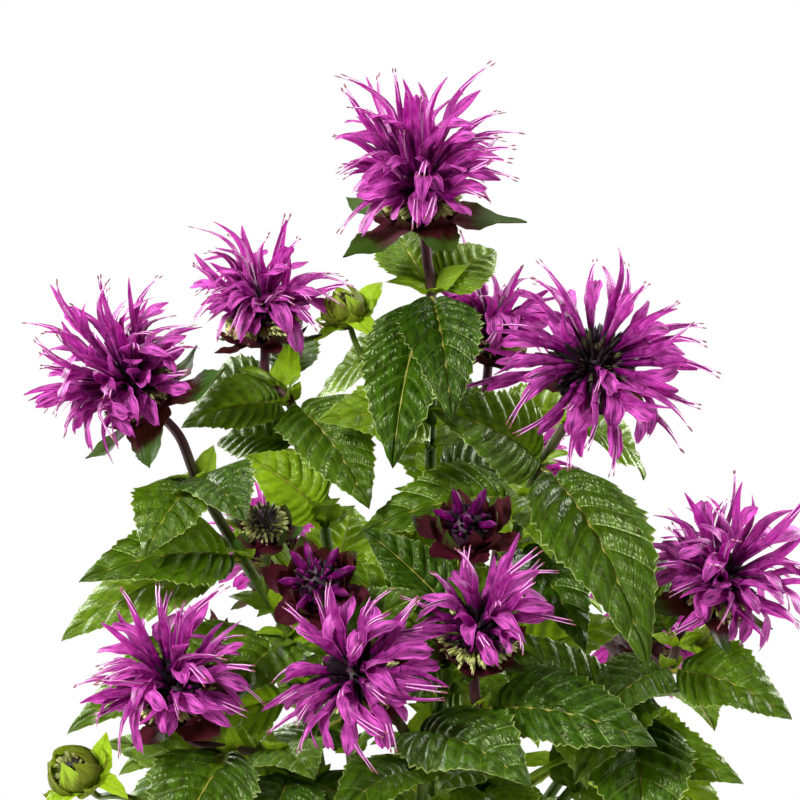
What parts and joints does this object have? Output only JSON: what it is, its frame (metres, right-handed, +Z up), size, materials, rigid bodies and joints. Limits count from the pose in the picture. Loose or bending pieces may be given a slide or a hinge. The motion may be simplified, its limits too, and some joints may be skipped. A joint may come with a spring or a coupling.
{
  "type": "potted bee balm plant",
  "caption": "Flowering bee balm with shaggy magenta heads on square leafy stems, growing in a plain tapered clay pot with a rim band.",
  "frame": {"origin": "middle of the pot's underside, on the surface it stands on", "axes": "+Z up, -Y towards the front that the heads face, +X to the right seen from the front"},
  "size_m": [0.3231, 0.2781, 0.5259],
  "materials": {
    "clay": "matt fired earthenware",
    "soil": "damp crumbly potting mix",
    "leaf": "satin living leaf and stem",
    "floret": "soft satin petal",
    "bract": "satin bract",
    "plum_bud": "satin bud",
    "green_bud": "satin bud"
  },
  "bodies": {
    "root": {"pot": "clay", "soil": "soil", "stem_crown": "leaf", "stem_left": "leaf", "stem_high_left": "leaf", "stem_shaded": "leaf", "stem_wheel": "leaf", "stem_right": "leaf", "stem_low_left": "leaf", "stem_low_front": "leaf", "stem_low_right": "leaf", "stem_star": "leaf", "stem_plum": "leaf", "stem_back_left": "leaf", "stem_back": "leaf", "stem_back_right": "leaf", "stem_side": "leaf", "bracts_crown": "bract", "bloom_crown": "floret", "bracts_left": "bract", "bloom_left": "floret", "bracts_high_left": "bract", "bloom_high_left": "floret", "bracts_shaded": "bract", "bloom_shaded": "floret", "bracts_wheel": "bract", "bloom_wheel": "floret", "bracts_right": "bract", "bloom_right": "floret", "bracts_low_left": "bract", "bloom_low_left": "floret", "bracts_low_front": "bract", "bloom_low_front": "floret", "bracts_low_right": "bract", "bloom_low_right": "floret", "bracts_back_left": "bract", "bloom_back_left": "floret", "bracts_back": "bract", "bloom_back": "floret", "bracts_back_right": "bract", "bloom_back_right": "floret", "bud_star": "plum_bud", "bud_plum": "plum_bud", "bud_green": "green_bud", "bud_young": "green_bud", "bud_outer": "green_bud", "bud_small": "green_bud", "bud_side": "plum_bud"}
  },
  "joints": []
}
